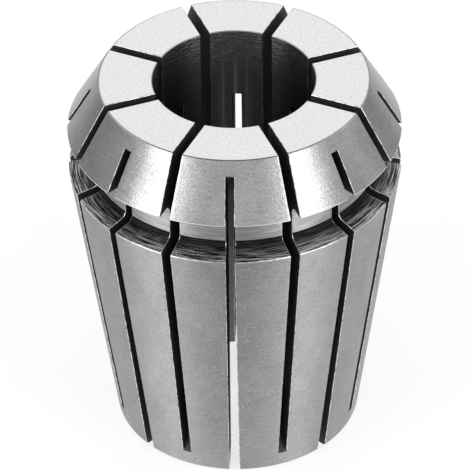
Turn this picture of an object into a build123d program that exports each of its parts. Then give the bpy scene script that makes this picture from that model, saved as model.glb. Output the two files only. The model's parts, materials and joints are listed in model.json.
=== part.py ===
import os
from math import radians, sqrt, tan

from build123d import *

# Spring collet, in millimetres. It stands on its small end: the origin is the centre of that end,
# and +Z runs along the bore to the front face. Angles are measured from the axis.

# Body
length = 40.0
largest_diameter = 33.0
bore_diameter = 16.0

# Front cone, where the nut presses
cone_height = 5.5
cone_angle = 30.0

# Narrow land that is left between the cone and the groove
land_width = 0.15

# Groove under the land, where the nut's ring hooks in to pull the collet out
groove_width = 3.85
groove_depth = 2.25
groove_side_drop = 0.5
groove_upper_root_radius = 0.9
groove_lower_root_radius = 0.6

# Long taper, which seats in the holder
taper_angle = 8.0

# Edges broken after grinding
face_break = 0.12
land_break = 0.06
taper_rim_break = 0.15
small_end_break = 0.3
bore_front_break = 0.12
bore_rear_break = 0.4

# Slots, half of them sawn in from the small end and half from the front face. Each stops short of
# the other end by its bridge, and the hardened leaves stand a little open there.
slots_per_end = 8
slot_width = 0.85
slot_spread = 0.15
front_bridge = 1.4
rear_bridge = 1.9

# Slitting saw, whose round rim shapes the slots' closed ends, and how far it passes the bore's wall
saw_radius = 31.5
saw_past_bore_wall = 6.0

# Worked out from the sizes above
body_radius = largest_diameter / 2
bore_radius = bore_diameter / 2
groove_radius = body_radius - groove_depth
cone_base = length - cone_height
groove_top = cone_base - land_width
groove_foot = groove_top - groove_width
taper_top = groove_foot - groove_side_drop
face_radius = body_radius - cone_height * tan(radians(cone_angle))
small_end_radius = body_radius - taper_top * tan(radians(taper_angle))
saw_rim_radius = bore_radius - saw_past_bore_wall
saw_centre_radius = saw_rim_radius + saw_radius
slot_pitch = 360 / slots_per_end

# How far the cutting solids run past the body
overcut = 2.0


def corner(section, radius, height):
    """The section's corner nearest to this radius and height."""
    return section.vertices().sort_by_distance((radius, height))[0]


def saw_reach(radius):
    """How far past the saw's centre its rim cuts at this radius of the collet."""
    return sqrt(saw_radius**2 - (saw_centre_radius - radius) ** 2)


def saw_cut(depth, end_radius):
    """One slot, opening at z = 0 and closing at z = depth where the body has the end radius."""
    centre = depth - saw_reach(end_radius)
    outside = body_radius + overcut

    def half_gap(height):
        return (slot_width + slot_spread * (1 - height / depth)) / 2

    with BuildPart() as cut:
        with BuildSketch(Plane.XZ):
            with BuildLine():
                Polyline(
                    (outside, centre + saw_reach(outside)),
                    (outside, -overcut),
                    (saw_rim_radius, -overcut),
                    (saw_rim_radius, centre),
                )
                ThreePointArc(
                    (saw_rim_radius, centre),
                    (end_radius, depth),
                    (outside, centre + saw_reach(outside)),
                )
            make_face()
        extrude(amount=body_radius, both=True)
        with BuildSketch(Plane.YZ):
            with BuildLine():
                Polyline(
                    (-half_gap(-overcut), -overcut),
                    (half_gap(-overcut), -overcut),
                    (half_gap(length), length),
                    (-half_gap(length), length),
                    close=True,
                )
            make_face()
        extrude(amount=outside, mode=Mode.INTERSECT)
    return cut.part


# Saw cuts from the small end, and from the front face
cone_slot_end = face_radius + front_bridge * tan(radians(cone_angle))
rear_slot = saw_cut(length - front_bridge, cone_slot_end)
taper_slot_end = small_end_radius + rear_bridge * tan(radians(taper_angle))
front_slot = mirror(saw_cut(length - rear_bridge, taper_slot_end), about=Plane.XY.offset(length / 2))

# Blank turned from half its section, then slotted from both ends in turn
with BuildPart() as collet:
    with BuildSketch(Plane.XZ) as half_section:
        with BuildLine():
            Polyline(
                (bore_radius, 0),
                (small_end_radius, 0),
                (body_radius, taper_top),
                (groove_radius, groove_foot),
                (groove_radius, groove_top),
                (body_radius, groove_top),
                (body_radius, cone_base),
                (face_radius, length),
                (bore_radius, length),
                close=True,
            )
        make_face()
        fillet(corner(half_section, groove_radius, groove_top), groove_upper_root_radius)
        fillet(corner(half_section, groove_radius, groove_foot), groove_lower_root_radius)
        chamfer(corner(half_section, body_radius, taper_top), taper_rim_break)
        chamfer(corner(half_section, body_radius, groove_top), land_break)
        chamfer(corner(half_section, face_radius, length), face_break)
        chamfer(corner(half_section, small_end_radius, 0), small_end_break)
        chamfer(corner(half_section, bore_radius, length), bore_front_break)
        chamfer(corner(half_section, bore_radius, 0), bore_rear_break)
    revolve(axis=Axis.Z)

    with PolarLocations(0, slots_per_end):
        add(rear_slot, mode=Mode.SUBTRACT)
    with PolarLocations(0, slots_per_end, start_angle=slot_pitch / 2):
        add(front_slot, mode=Mode.SUBTRACT)

os.makedirs("parts", exist_ok=True)
collet.part.label = "collet"
export_step(collet.part, "parts/collet.step")
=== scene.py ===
import json
from math import atan2, cos, hypot, pi, radians, sin, sqrt, tan

import bpy
from mathutils import Matrix, Vector


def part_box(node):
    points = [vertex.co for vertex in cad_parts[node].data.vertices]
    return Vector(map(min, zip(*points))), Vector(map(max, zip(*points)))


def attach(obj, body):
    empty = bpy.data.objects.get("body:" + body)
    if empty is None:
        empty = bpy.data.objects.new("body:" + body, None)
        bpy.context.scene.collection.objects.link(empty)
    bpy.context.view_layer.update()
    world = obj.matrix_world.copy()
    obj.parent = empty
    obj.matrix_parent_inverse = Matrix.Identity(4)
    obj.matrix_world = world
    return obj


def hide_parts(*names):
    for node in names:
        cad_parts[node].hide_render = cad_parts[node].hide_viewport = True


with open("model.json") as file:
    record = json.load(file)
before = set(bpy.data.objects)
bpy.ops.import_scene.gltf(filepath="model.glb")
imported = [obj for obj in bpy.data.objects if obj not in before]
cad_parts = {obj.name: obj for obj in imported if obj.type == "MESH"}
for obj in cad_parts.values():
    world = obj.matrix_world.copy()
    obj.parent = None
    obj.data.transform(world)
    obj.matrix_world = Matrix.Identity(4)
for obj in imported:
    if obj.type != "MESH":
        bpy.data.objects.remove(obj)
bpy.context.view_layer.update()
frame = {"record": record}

# A spring collet of hardened steel: a turned blank, slotted with a saw from both ends and then ground.
# It stands on its small end, with its axis on Z and a slot that is open at the small end facing -Y.
# The scene is in metres, and mm turns a length in millimetres into them.
mm = 0.001

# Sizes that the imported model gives
mounts = {mount["name"]: mount["dims"] for mount in frame["record"]["mounts"]}
high_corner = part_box("collet")[1]
length = high_corner.z
bore_radius = mounts["bore"]["r_mm"] * mm
taper_top = mounts["taper"]["length_mm"] * mm
cone_base = length - mounts["front_cone"]["length_mm"] * mm
groove_width = mounts["groove"]["length_mm"] * mm

# Turned and ground forms, as in the part's source
cone_angle = radians(30)
taper_angle = radians(8)
land_width = 0.15 * mm
groove_depth = 2.25 * mm
groove_upper_root_radius = 0.9 * mm
groove_lower_root_radius = 0.6 * mm
face_break = 0.12 * mm
land_break = 0.06 * mm
taper_rim_break = 0.15 * mm
small_end_break = 0.3 * mm
bore_front_break = 0.12 * mm
bore_rear_break = 0.4 * mm

# Slots and the slitting saw that cut them, as in the part's source
slots_per_end = 8
slot_width = 0.85 * mm
slot_spread = 0.15 * mm
front_bridge = 1.4 * mm
rear_bridge = 1.9 * mm
saw_radius = 31.5 * mm
saw_past_bore_wall = 6 * mm

# Broken lips of the slots, which the scene adds
lip_break = 0.06 * mm

# Faces across a round or a broken corner
root_steps = 8
taper_rim_steps = 5
face_rim_steps = 4
bore_and_foot_steps = 3
land_steps = 1
lip_steps = 4

# Columns of faces round the blank: a narrow one each side of a slot's middle, and even ones between
slot_pitch = 2 * pi / slots_per_end
strip_angle = radians(3)
even_columns = 6

# Facets of the saw's disc, in a number that keeps its corners off the bore's wall and the outer faces
saw_facets = 356

# How far the saw runs out of the body
saw_overrun = 2 * mm

# The saw's disc starts thicker than any slot, and the wedge that trims it is longer than the disc
disc_thickness = 4 * slot_width
wedge_reach = 3 * saw_radius

# How near a vertex lies to the corner that it is picked as, and how near to another that it joins
pick_distance = 0.01 * mm
merge_distance = 0.001 * mm

# What counts as facing along the axis, as one flat face, and as one smooth surface
level_normal = 0.999
flat_angle = radians(0.2)
smooth_angle = radians(25)

# How far above the land's flat underside the land's own finish starts
underside_margin = land_break / 4

# How near to a slot's middle a piece of its lip lies, where the lip runs across the closed end
closed_end_reach = slot_width / 3

# How far out from the groove's root its side is darkened with painted shade, and how far down the bore the
# chatter reaches
painted_root_shade_reach = 0.25 * mm
chatter_reach = 6 * mm

# Floor: its width, the white that it shows near the collet and far from it, and where the one fades
floor_size = 6
floor_lift = 0.78
far_floor_lift = 0.1
pool_start = 0.07
pool_end = 0.3

# Studio's brightness at the horizon and overhead, and at these degrees of elevation between them
world_horizon = 0.45
world_overhead = 0.2
world_bands = ((8, 0.5), (14, 1.1), (48, 1.1), (60, 0.5))

# Dark card on the floor in front of the collet
card_distance = 64 * mm
card_width = 40 * mm
card_depth = 44 * mm
card_lift = 0.2 * mm

# How far the lamps stand from the collet
lamp_distance = 0.5

# Camera, fitted to the edges of the collet in the photograph
camera_azimuth = radians(2.1)
camera_elevation = radians(37.986)
camera_roll = radians(-0.789)
camera_distance = 497.1 * mm
camera_aim_side = -0.102 * mm
camera_aim_height = 20.553 * mm
camera_lens = 379.31
camera_clip_start = 10 * mm


def half_gap(height, depth):
    """Half a slot's width at this distance from the end that it opens at: the leaves stand open there."""
    return (slot_width + slot_spread * (1 - height / depth)) / 2


# Worked out from the sizes above
rear_depth = length - front_bridge
front_depth = length - rear_bridge
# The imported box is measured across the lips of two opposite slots, just under the round's own width
body_radius = hypot(high_corner.x, half_gap(cone_base, rear_depth))
groove_top = cone_base - land_width
groove_foot = groove_top - groove_width
groove_radius = body_radius - groove_depth
face_radius = body_radius - (length - cone_base) * tan(cone_angle)
small_end_radius = body_radius - taper_top * tan(taper_angle)
saw_rim_radius = bore_radius - saw_past_bore_wall
saw_centre_radius = saw_rim_radius + saw_radius


def select_nothing():
    """Leaves nothing selected, so that a new primitive is shaped alone."""
    bpy.ops.object.select_all(action="DESELECT")


def select_only(piece):
    """Selects this piece alone, so that the next operator works on nothing else."""
    select_nothing()
    bpy.context.view_layer.objects.active = piece
    piece.select_set(True)


def edit_selected(piece, verts=None, faces=None):
    """Opens the piece in edit mode with only the vertices or the faces selected that pass the test."""
    select_only(piece)
    bpy.ops.object.mode_set(mode="EDIT")
    bpy.ops.mesh.select_mode(type="VERT" if verts else "FACE")
    bpy.ops.mesh.select_all(action="DESELECT")
    bpy.ops.object.mode_set(mode="OBJECT")
    for item in piece.data.vertices if verts else piece.data.polygons:
        item.select = (verts or faces)(item)
    bpy.ops.object.mode_set(mode="EDIT")


def apply_place(piece):
    """Puts the piece's place, turn and size into its mesh."""
    select_only(piece)
    bpy.ops.object.transform_apply(location=True, rotation=True, scale=True)


def cut_with(piece, tool, operation):
    """Applies a Boolean of the tool to the piece. New faces keep the tool's material."""
    select_only(piece)
    cut = piece.modifiers.new("cut", "BOOLEAN")
    cut.operation = operation
    cut.object = tool
    cut.solver = "EXACT"
    cut.material_mode = "TRANSFER"
    bpy.ops.object.modifier_apply(modifier=cut.name)
    bpy.data.objects.remove(tool)


def drawn_section(places):
    """A face with its corners at these places: one point, extruded from each place to the next."""
    select_nothing()
    bpy.ops.mesh.primitive_plane_add(size=mm, location=places[0])
    section = bpy.context.object
    apply_place(section)
    bpy.ops.object.mode_set(mode="EDIT")
    bpy.ops.mesh.select_all(action="SELECT")
    bpy.ops.mesh.merge(type="CENTER")
    for here, there in zip(places, places[1:]):
        bpy.ops.mesh.extrude_vertices_move(TRANSFORM_OT_translate={"value": there - here})
    bpy.ops.mesh.select_all(action="SELECT")
    bpy.ops.mesh.edge_face_add()
    bpy.ops.object.mode_set(mode="OBJECT")
    return section


def soften_corner(section, place, set_back, steps):
    """Rounds off the section's corner at this place, starting this far back on each side."""
    edit_selected(section, verts=lambda vertex: (vertex.co - place).length < pick_distance)
    bpy.ops.mesh.bevel(affect="VERTICES", offset=set_back, segments=steps, clamp_overlap=False)
    bpy.ops.object.mode_set(mode="OBJECT")


def spin_round(section):
    """Spins the section's outline round Z into a closed blank."""
    edit_selected(section, faces=lambda face: True)
    bpy.ops.mesh.delete(type="ONLY_FACE")
    bpy.ops.mesh.select_all(action="SELECT")
    even_angle = slot_pitch / 2 - 2 * strip_angle
    for _ in range(2 * slots_per_end):
        for angle, steps in ((strip_angle, 1), (even_angle, even_columns), (strip_angle, 1)):
            bpy.ops.mesh.spin(steps=steps, angle=angle, center=(0, 0, 0), axis=(0, 0, 1))
    bpy.ops.mesh.select_all(action="SELECT")
    bpy.ops.mesh.remove_doubles(threshold=merge_distance)
    bpy.ops.mesh.normals_make_consistent(inside=False)
    bpy.ops.object.mode_set(mode="OBJECT")


def turned_blank():
    """The blank before it is sawn: half its section, drawn and with its corners broken, spun round Z."""
    corners = (
        # radius, height, form, the radius of a round or the set-back of a break, and the faces across it
        (bore_radius, 0, "break", bore_rear_break, bore_and_foot_steps),
        (small_end_radius, 0, "break", small_end_break, bore_and_foot_steps),
        (body_radius, taper_top, "break", taper_rim_break, taper_rim_steps),
        (groove_radius, groove_foot, "round", groove_lower_root_radius, root_steps),
        (groove_radius, groove_top, "round", groove_upper_root_radius, root_steps),
        (body_radius, groove_top, "break", land_break, land_steps),
        (body_radius, cone_base, "sharp", 0, 0),
        (face_radius, length, "break", face_break, face_rim_steps),
        (bore_radius, length, "break", bore_front_break, bore_and_foot_steps),
    )
    places = [Vector((radius, 0, height)) for radius, height, _, _, _ in corners]
    blank = drawn_section(places)
    blank.name = "spring_collet"
    for index, (_, _, form, size, steps) in enumerate(corners):
        if form == "sharp":
            continue
        coming = places[index] - places[index - 1]
        going = places[(index + 1) % len(places)] - places[index]
        set_back = size * tan(coming.angle(going) / 2) if form == "round" else size
        soften_corner(blank, places[index], set_back, steps)
    spin_round(blank)
    return blank


def saw_disc(centre):
    """The saw's disc, upright over the X axis, run from this height down and out past the small end."""
    select_nothing()
    bpy.ops.mesh.primitive_cylinder_add(
        vertices=saw_facets,
        radius=saw_radius,
        depth=disc_thickness,
        location=(saw_centre_radius, 0, centre),
        rotation=(pi / 2, 0, 0),
    )
    disc = bpy.context.object
    apply_place(disc)
    bpy.ops.object.mode_set(mode="EDIT")
    bpy.ops.mesh.select_all(action="SELECT")
    bpy.ops.mesh.bisect(plane_co=(0, 0, centre), plane_no=(0, 0, 1), use_fill=True, clear_inner=True)
    bpy.ops.mesh.extrude_region_move(TRANSFORM_OT_translate={"value": (0, 0, -centre - saw_overrun)})
    bpy.ops.mesh.select_all(action="SELECT")
    bpy.ops.mesh.normals_make_consistent(inside=False)
    bpy.ops.object.mode_set(mode="OBJECT")
    return disc


def gap_wedge(depth):
    """A block as thick as the slot is wide, and so thinner towards the closed end."""
    foot = -2 * saw_overrun
    head = length + saw_overrun
    select_nothing()
    bpy.ops.mesh.primitive_cube_add(
        size=1,
        location=(saw_centre_radius, 0, (foot + head) / 2),
        scale=(wedge_reach, 2 * half_gap(foot, depth), head - foot),
    )
    wedge = bpy.context.object
    apply_place(wedge)
    edit_selected(wedge, faces=lambda face: face.normal.z > level_normal)
    narrowing = half_gap(head, depth) / half_gap(foot, depth)
    bpy.ops.transform.resize(value=(1, narrowing, 1))
    bpy.ops.object.mode_set(mode="OBJECT")
    return wedge


def saw_path(depth, end_radius, finish):
    """The room that the saw takes for one slot, facing +X: its disc, trimmed to the slot's gap."""
    centre = depth - sqrt(saw_radius**2 - (saw_centre_radius - end_radius) ** 2)
    path = saw_disc(centre)
    cut_with(path, gap_wedge(depth), "INTERSECT")
    path.data.materials.clear()
    path.data.materials.append(finish)
    return path


def saw_slots(blank, tool, first_angle):
    """Cuts one end's slots, all with copies of the same tool."""
    for index in range(slots_per_end):
        select_only(tool)
        bpy.ops.object.duplicate()
        blade = bpy.context.object
        blade.rotation_euler = (0, 0, first_angle + index * slot_pitch)
        apply_place(blade)
        cut_with(blank, blade, "DIFFERENCE")
    bpy.data.objects.remove(tool)


def saw_both_ends(blank, finish):
    """The slots that open at the small end, and those between them that open at the front face."""
    cone_end = face_radius + front_bridge * tan(cone_angle)
    saw_slots(blank, saw_path(rear_depth, cone_end, finish), 0)
    taper_end = small_end_radius + rear_bridge * tan(taper_angle)
    front_tool = saw_path(front_depth, taper_end, finish)
    front_tool.rotation_euler = (pi, 0, 0)
    front_tool.location = (0, 0, length)
    apply_place(front_tool)
    saw_slots(blank, front_tool, slot_pitch / 2)


def join_flat_faces(collet, sawn_slot):
    """Makes each flat face whole again, so that the lips break evenly."""
    edit_selected(
        collet,
        faces=lambda face: face.material_index == sawn_slot or abs(face.normal.z) > level_normal,
    )
    bpy.ops.mesh.dissolve_limited(angle_limit=flat_angle, delimit={"MATERIAL"})
    bpy.ops.object.mode_set(mode="OBJECT")


def aside_from_slot(face):
    """How far to the side of the nearest slot's middle a face lies."""
    angle = atan2(face.center.y, face.center.x) % (slot_pitch / 2)
    return min(angle, slot_pitch / 2 - angle) * hypot(face.center.x, face.center.y)


def break_lips(collet, sawn_slot, edge_slot):
    """Breaks the slots' lips. A lip that runs across a slot's closed end stays as dark as the cut."""
    edit_selected(collet, faces=lambda face: face.material_index == sawn_slot)
    bpy.ops.mesh.region_to_loop()
    bpy.ops.mesh.bevel(offset=lip_break, segments=lip_steps, clamp_overlap=False, material=edge_slot)
    bpy.ops.object.mode_set(mode="OBJECT")
    for face in collet.data.polygons:
        if face.material_index == edge_slot and aside_from_slot(face) < closed_end_reach:
            face.material_index = sawn_slot


def shade_smooth(collet):
    """Shades the round surfaces smooth, and keeps the flat ones flat up to their edges."""
    select_only(collet)
    bpy.ops.object.shade_smooth_by_angle(angle=smooth_angle)
    weighted = collet.modifiers.new("weighted", "WEIGHTED_NORMAL")
    weighted.keep_sharp = True
    bpy.ops.object.modifier_apply(modifier=weighted.name)


def add_node(tree, kind, inputs=None, **settings):
    """Adds one node: its settings by name, and its inputs as values or as the outputs that feed them."""
    node = tree.nodes.new(kind)
    for name, value in settings.items():
        setattr(node, name, value)
    for name, value in (inputs or {}).items():
        if isinstance(value, bpy.types.NodeSocket):
            tree.links.new(value, node.inputs[name])
        else:
            node.inputs[name].default_value = value
    return node


def linear(code):
    """An sRGB hex colour as the linear colour that a shader takes."""
    parts = [int(code[start : start + 2], 16) / 255 for start in (1, 3, 5)]
    return (*[part / 12.92 if part <= 0.04045 else ((part + 0.055) / 1.055) ** 2.4 for part in parts], 1)


def new_material(name, colour, roughness, metallic=1, anisotropy=0):
    """A material with its Principled shader, whose plain values sit on the shader's own sockets."""
    material = bpy.data.materials.new(name)
    material.use_nodes = True
    shader = material.node_tree.nodes["Principled BSDF"]
    shader.inputs["Base Color"].default_value = linear(colour)
    shader.inputs["Roughness"].default_value = roughness
    shader.inputs["Metallic"].default_value = metallic
    shader.inputs["Anisotropic"].default_value = anisotropy
    if anisotropy:
        # Marks that run round the axis spread a gleam up and down, a quarter turn from themselves
        around = add_node(material.node_tree, "ShaderNodeTangent", direction_type="RADIAL", axis="Z")
        material.node_tree.links.new(around.outputs["Tangent"], shader.inputs["Tangent"])
        shader.inputs["Anisotropic Rotation"].default_value = 0.25
    return material, material.node_tree, shader


def round_place(tree, radius):
    """The place on a turned surface: the way round at this radius, the distance out and the height."""
    place = add_node(tree, "ShaderNodeTexCoord").outputs["Object"]
    axes = add_node(tree, "ShaderNodeSeparateXYZ", {"Vector": place}).outputs
    angle = add_node(tree, "ShaderNodeMath", {0: axes["Y"], 1: axes["X"]}, operation="ARCTAN2")
    level = add_node(tree, "ShaderNodeVectorMath", {0: place, 1: (1, 1, 0)}, operation="MULTIPLY")
    out = add_node(tree, "ShaderNodeVectorMath", {0: level.outputs["Vector"]}, operation="LENGTH")
    unrolled = add_node(
        tree,
        "ShaderNodeCombineXYZ",
        {"X": angle.outputs["Value"], "Y": out.outputs["Value"], "Z": axes["Z"]},
    )
    sized = add_node(
        tree, "ShaderNodeMapping", {"Vector": unrolled.outputs["Vector"], "Scale": (radius, 1, 1)}
    )
    return sized.outputs["Vector"]


def marks(tree, place, along, across, seed, low=0.25, high=0.75):
    """Random marks, about this long and this far apart across the cut, from 0 at low to 1 at high."""
    scale = (1 / along, 1 / across, 1 / across)
    stretched = add_node(
        tree, "ShaderNodeMapping", {"Vector": place, "Location": (seed, seed, seed), "Scale": scale}
    )
    noise = add_node(
        tree,
        "ShaderNodeTexNoise",
        {"Vector": stretched.outputs["Vector"], "Scale": 1.0, "Detail": 2.0, "Roughness": 0.6},
    )
    spread = add_node(
        tree, "ShaderNodeMapRange", {"Value": noise.outputs["Fac"], "From Min": low, "From Max": high}
    )
    return spread.outputs["Result"]


def mean(tree, first, second):
    """The mean of two sets of marks."""
    total = add_node(tree, "ShaderNodeMath", {0: first, 1: second}, operation="ADD").outputs["Value"]
    return add_node(tree, "ShaderNodeMath", {0: total, 1: 0.5}, operation="MULTIPLY").outputs["Value"]


def relief(tree, shader, layers):
    """Gives the shader bumps, one layer on another: each is its marks and their depth."""
    normal = None
    for height, depth in layers:
        inputs = {"Height": height, "Distance": depth, "Strength": 1.0}
        if normal:
            inputs["Normal"] = normal
        normal = add_node(tree, "ShaderNodeBump", inputs).outputs["Normal"]
    tree.links.new(normal, shader.inputs["Normal"])


def tone(tree, shader, pattern, darker, lighter):
    """Lets the steel's colour run from darker to lighter with the marks."""
    shade = add_node(tree, "ShaderNodeMix", {"Factor": pattern}, data_type="RGBA")
    shade.inputs["A"].default_value = linear(darker)
    shade.inputs["B"].default_value = linear(lighter)
    tree.links.new(shade.outputs["Result"], shader.inputs["Base Color"])


def surface_ground_face():
    """Flat ground front face: a bright satin with short faint scratches, even all over."""
    material, tree, shader = new_material("surface_ground_steel", "#e4e4e3", roughness=0.35)
    place = add_node(tree, "ShaderNodeTexCoord").outputs["Object"]
    # Scratches a few hundredths of a millimetre apart, drawn coarser so that they show
    scratches = marks(tree, place, along=0.3 * mm, across=0.2 * mm, seed=3.1)
    tone(tree, shader, scratches, "#d8d8d7", "#f4f4f3")
    relief(tree, shader, [(scratches, 0.003 * mm)])
    return material


def cylindrically_ground(name, darker, lighter, roughness, anisotropy, grain_depth, pit_depth):
    """Ground round the axis: dull stains, faint level lines, grains that glint and a few pits."""
    material, tree, shader = new_material(name, lighter, roughness, anisotropy=anisotropy)
    place = round_place(tree, body_radius)
    stains = marks(tree, place, along=3 * mm, across=5 * mm, seed=1.9)
    # The wheel's lines and grains are a few hundredths of a millimetre, drawn coarser so that they show
    lines = marks(tree, place, along=1.4 * mm, across=0.15 * mm, seed=5.7)
    grains = marks(tree, place, along=0.16 * mm, across=0.2 * mm, seed=9.4)
    pits = marks(tree, place, along=0.3 * mm, across=0.24 * mm, seed=14.2, low=0.62, high=0.72)
    tone(tree, shader, mean(tree, mean(tree, lines, stains), grains), darker, lighter)
    relief(tree, shader, [(lines, 0.002 * mm), (grains, grain_depth), (pits, pit_depth)])
    return material


def ground_cone():
    """Ground front cone: the smoothest of the ground surfaces, so that its gleam is white and narrow."""
    return cylindrically_ground(
        "cylindrically_ground_cone",
        darker="#757574",
        lighter="#bababa",
        roughness=0.28,
        anisotropy=0.4,
        grain_depth=0.005 * mm,
        pit_depth=0.006 * mm,
    )


def ground_land():
    """Ground land between the cone and the groove: a thin line without pits, made bright by a painted
    highlight.
    """
    # Painted highlight: the land's near-white steel colours
    return cylindrically_ground(
        "ground_land",
        darker="#e0e0df",
        lighter="#fcfcfb",
        roughness=0.5,
        anisotropy=0.9,
        grain_depth=0.005 * mm,
        pit_depth=0.0,
    )


def ground_taper():
    """Ground long taper: satin, with a soft gleam from top to bottom and pits that can be seen."""
    return cylindrically_ground(
        "cylindrically_ground_taper",
        darker="#868685",
        lighter="#bfbfbe",
        roughness=0.5,
        anisotropy=0.9,
        grain_depth=0.009 * mm,
        pit_depth=0.025 * mm,
    )


def turned_neck():
    """Floor of the groove: smoothly turned, with fine level lines that spread a gleam up and down."""
    material, tree, shader = new_material("turned_neck", "#b6b6b5", roughness=0.5, anisotropy=0.95)
    lines = marks(tree, round_place(tree, groove_radius), along=2 * mm, across=0.08 * mm, seed=2.2)
    tone(tree, shader, lines, "#8e8e8d", "#dadad9")
    relief(tree, shader, [(lines, 0.02 * mm)])
    return material


def form_turned_groove_side():
    """Lower side of the groove: torn by the form tool, dark with painted shade that is deepest at its root,
    and with bright ridges round the axis.
    """
    material, tree, shader = new_material(
        "form_turned_groove_side", "#7c7c7b", roughness=0.3, anisotropy=0.4
    )
    place = round_place(tree, groove_radius)
    ridges = marks(tree, place, along=2.4 * mm, across=0.08 * mm, seed=2.2, low=0.45, high=0.6)
    tears = marks(tree, place, along=0.28 * mm, across=0.08 * mm, seed=12.9, low=0.4, high=0.65)
    # Painted shade: the side's steel is near black, and darkest towards the groove's root
    out = add_node(tree, "ShaderNodeSeparateXYZ", {"Vector": place}).outputs["Y"]
    root_shade_fade = add_node(
        tree,
        "ShaderNodeMapRange",
        {"Value": out, "From Min": groove_radius + painted_root_shade_reach, "From Max": body_radius, "To Min": 0.03},
    )
    bright = add_node(
        tree, "ShaderNodeMath", {0: root_shade_fade.outputs["Result"], 1: ridges}, operation="MULTIPLY"
    )
    tone(tree, shader, bright.outputs["Value"], "#181817", "#f0f0ef")
    relief(tree, shader, [(ridges, 0.015 * mm), (tears, 0.02 * mm)])
    return material


def honed_bore():
    """Honed bore: dark with painted shade, under a film of oil which mirrors the slots, with chatter marks
    near its mouth.
    """
    # Painted shade: the bore's steel is coloured dark, here and in its hone lines
    material, tree, shader = new_material("honed_bore", "#666665", roughness=0.32, anisotropy=0.9)
    shader.inputs["Coat Weight"].default_value = 0.6
    shader.inputs["Coat Roughness"].default_value = 0.06
    place = round_place(tree, bore_radius)
    height = add_node(tree, "ShaderNodeSeparateXYZ", {"Vector": place}).outputs["Z"]
    near_mouth = add_node(
        tree, "ShaderNodeMapRange", {"Value": height, "From Min": length - chatter_reach, "From Max": length}
    )
    ripples = marks(tree, place, along=0.9 * mm, across=0.16 * mm, seed=21.3)
    chatter = add_node(
        tree, "ShaderNodeMath", {0: near_mouth.outputs["Result"], 1: ripples}, operation="MULTIPLY"
    )
    # The hone's lines are a few hundredths of a millimetre apart, drawn coarser so that they show
    honing = marks(tree, place, along=1.5 * mm, across=0.12 * mm, seed=17.1)
    tone(tree, shader, honing, "#5a5a59", "#6a6a69")
    relief(tree, shader, [(honing, 0.002 * mm), (chatter.outputs["Value"], 0.08 * mm)])
    return material


def faced_small_end():
    """Faced small end: fine rings round the bore, which turn with the light."""
    material, tree, shader = new_material("faced_small_end", "#a8a8a7", roughness=0.34)
    rings = marks(tree, round_place(tree, small_end_radius), along=20 * mm, across=0.2 * mm, seed=6.6)
    tone(tree, shader, rings, "#9a9a99", "#b6b6b5")
    relief(tree, shader, [(rings, 0.004 * mm)])
    return material


def sawn_slot_wall():
    """Slot walls left by the slitting saw: dull and dark, with faint mottling from its teeth."""
    material, tree, shader = new_material("sawn_slot_wall", "#4e4e4d", roughness=0.66)
    place = add_node(tree, "ShaderNodeTexCoord").outputs["Object"]
    # The teeth leave marks a few hundredths of a millimetre apart, drawn coarser so that they show
    mottling = marks(tree, place, along=0.16 * mm, across=0.16 * mm, seed=8.8)
    tone(tree, shader, mottling, "#444443", "#585857")
    relief(tree, shader, [(mottling, 0.0015 * mm)])
    return material


def broken_edge(name, darker, lighter):
    """Narrow edge where a corner is broken: a thin light line with small nicks."""
    material, tree, shader = new_material(name, lighter, roughness=0.28)
    place = add_node(tree, "ShaderNodeTexCoord").outputs["Object"]
    nicks = marks(tree, place, along=0.6 * mm, across=0.6 * mm, seed=4.4, low=0.35, high=0.6)
    tone(tree, shader, nicks, darker, lighter)
    relief(tree, shader, [(nicks, 0.003 * mm)])
    return material


def broken_rim():
    """Broken rim of the taper: a light line, duller than the slots' lips."""
    return broken_edge("broken_rim", darker="#a8a8a7", lighter="#d8d8d7")


def broken_slot_lip():
    """Broken lip of a slot: bright in places and dark in others, so that the line sparkles."""
    return broken_edge("broken_slot_lip", darker="#8c8c8b", lighter="#f4f4f3")


def zone_of(face):
    """Which finish a face of the blank has, by its place."""
    radius = hypot(face.center.x, face.center.y)
    height = face.center.z
    if face.normal.z > level_normal and height > cone_base:
        return "front_face"
    if face.normal.z < -level_normal and height < taper_top:
        return "small_end"
    if radius < bore_radius + bore_rear_break and height < length - bore_front_break:
        return "bore"
    if height > cone_base:
        return "cone"
    if height > groove_top + underside_margin:
        return "land"
    if height > groove_foot + groove_lower_root_radius:
        return "neck"
    if height > taper_top:
        return "groove_side"
    if height > taper_top - taper_rim_break:
        return "rim"
    return "taper"


def finish_zones(blank):
    """Gives each face of the blank the finish of its zone."""
    finishes = {
        "front_face": surface_ground_face(),
        "cone": ground_cone(),
        "land": ground_land(),
        "neck": turned_neck(),
        "groove_side": form_turned_groove_side(),
        "rim": broken_rim(),
        "taper": ground_taper(),
        "bore": honed_bore(),
        "small_end": faced_small_end(),
    }
    for finish in finishes.values():
        blank.data.materials.append(finish)
    zones = list(finishes)
    for face in blank.data.polygons:
        face.material_index = zones.index(zone_of(face))


def spring_collet():
    """The collet: turned, sawn from both ends, and its lips broken, with each surface's own finish."""
    collet = turned_blank()
    finish_zones(collet)
    sawn = sawn_slot_wall()
    saw_both_ends(collet, sawn)
    edge = broken_slot_lip()
    collet.data.materials.append(edge)
    sawn_slot = collet.data.materials.find(sawn.name)
    edge_slot = collet.data.materials.find(edge.name)
    join_flat_faces(collet, sawn_slot)
    break_lips(collet, sawn_slot, edge_slot)
    shade_smooth(collet)
    return collet


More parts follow.
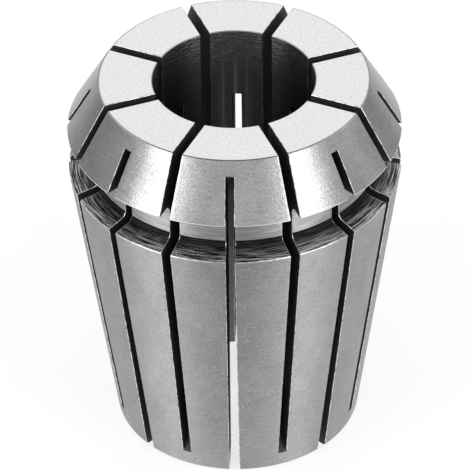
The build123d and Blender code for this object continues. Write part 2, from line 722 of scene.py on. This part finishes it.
def matt_pale_paint():
    """Matt pale floor, which shows the eye and the metal a pool of the studio's white as well."""
    material, tree, shader = new_material("matt_pale_paint", "#787878", roughness=0.9, metallic=0)
    path = add_node(tree, "ShaderNodeLightPath").outputs
    straight_or_mirrored = add_node(
        tree, "ShaderNodeMath", {0: path["Is Camera Ray"], 1: path["Is Glossy Ray"]}, operation="ADD"
    )
    seen = add_node(
        tree,
        "ShaderNodeMath",
        {0: straight_or_mirrored.outputs["Value"], 1: path["Is Transmission Ray"]},
        operation="ADD",
    )
    place = add_node(tree, "ShaderNodeTexCoord").outputs["Object"]
    away = add_node(tree, "ShaderNodeVectorMath", {0: place}, operation="LENGTH")
    pool = add_node(
        tree,
        "ShaderNodeMapRange",
        {
            "Value": away.outputs["Value"],
            "From Min": pool_start,
            "From Max": pool_end,
            "To Min": floor_lift,
            "To Max": far_floor_lift,
        },
    )
    lift = add_node(
        tree, "ShaderNodeMath", {0: seen.outputs["Value"], 1: pool.outputs["Result"]}, operation="MULTIPLY"
    )
    tree.links.new(lift.outputs["Value"], shader.inputs["Emission Strength"])
    shader.inputs["Emission Color"].default_value = (1, 1, 1, 1)
    return material


def pale_floor():
    """A wide floor under the collet."""
    select_nothing()
    bpy.ops.mesh.primitive_plane_add(size=floor_size)
    floor = bpy.context.object
    floor.name = "floor"
    floor.data.materials.append(matt_pale_paint())


def matt_dark_card():
    """Matt dark card: an even grey in the metal."""
    material, _, _ = new_material("matt_dark_card", "#4c4c4c", roughness=0.9, metallic=0)
    return material


def grey_card():
    """A card seen only in the metal. It gives the groove's floor a darker middle."""
    select_nothing()
    bpy.ops.mesh.primitive_plane_add(size=1)
    card = bpy.context.object
    card.name = "grey_card"
    card.location = (0, -card_distance, card_lift)
    card.scale = (card_width, card_depth, 1)
    apply_place(card)
    card.data.materials.append(matt_dark_card())
    card.visible_camera = False
    card.visible_diffuse = False
    card.visible_shadow = False


def studio_world():
    """Soft light from all round: grey near the horizon, white above it, and dark overhead."""
    world = bpy.data.worlds.new("studio")
    bpy.context.scene.world = world
    world.use_nodes = True
    tree = world.node_tree
    direction = add_node(tree, "ShaderNodeTexCoord").outputs["Generated"]
    height = add_node(tree, "ShaderNodeSeparateXYZ", {"Vector": direction}).outputs["Z"]
    ramp = add_node(tree, "ShaderNodeValToRGB", {"Fac": height})
    bands = ramp.color_ramp
    bands.elements[0].position = 0
    bands.elements[0].color = (*[world_horizon] * 3, 1)
    bands.elements[1].position = 1
    bands.elements[1].color = (*[world_overhead] * 3, 1)
    for elevation, brightness in world_bands:
        element = bands.elements.new(sin(radians(elevation)))
        element.color = (*[brightness] * 3, 1)
    background = tree.nodes["Background"]
    tree.links.new(ramp.outputs["Color"], background.inputs["Color"])
    background.inputs["Strength"].default_value = 1


def lamp(name, azimuth, elevation, width, height, brightness, glossy=True):
    """A rectangular soft lamp that faces the collet. Brightness is what a mirror would show of it."""
    aim = Vector((0, 0, length / 2))
    back = Vector((sin(azimuth) * cos(elevation), -cos(azimuth) * cos(elevation), sin(elevation)))
    bpy.ops.object.light_add(type="AREA", location=aim + back * lamp_distance)
    softbox = bpy.context.object
    softbox.name = name
    softbox.data.shape = "RECTANGLE"
    softbox.data.size = width
    softbox.data.size_y = height
    softbox.data.energy = brightness * pi * width * height
    softbox.rotation_euler = back.to_track_quat("Z", "Y").to_euler()
    softbox.visible_camera = False
    softbox.visible_glossy = glossy


def studio_lamps():
    """Two tall softboxes that make the gleams, a weak one on the right, and soft light from above."""
    lamp("left_softbox", radians(-50.5), radians(24), width=0.235, height=0.4, brightness=3.3)
    lamp("right_softbox", radians(49), radians(24), width=0.205, height=0.4, brightness=3.5)
    lamp("right_fill", radians(105), radians(8), width=0.3, height=0.2, brightness=0.4)
    lamp("top_light", 0, radians(90), width=0.4, height=0.4, brightness=0.8, glossy=False)


def photograph_camera():
    """The camera at the photograph's place."""
    bpy.ops.object.camera_add()
    camera = bpy.context.object
    camera.name = "camera"
    camera.data.lens = camera_lens
    camera.data.clip_start = camera_clip_start
    turn = Matrix.Rotation(camera_azimuth, 4, "Z")
    aim = turn @ Vector((camera_aim_side, 0, camera_aim_height))
    tilt = Matrix.Rotation(pi / 2 - camera_elevation, 4, "X")
    look = turn @ tilt @ Matrix.Rotation(camera_roll, 4, "Z")
    camera.matrix_world = Matrix.Translation(aim) @ look @ Matrix.Translation((0, 0, camera_distance))
    bpy.context.scene.camera = camera


collet = spring_collet()
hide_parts("collet")
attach(collet, "root")

pale_floor()
studio_world()
grey_card()
studio_lamps()
photograph_camera()
bpy.context.scene.view_settings.view_transform = "Standard"
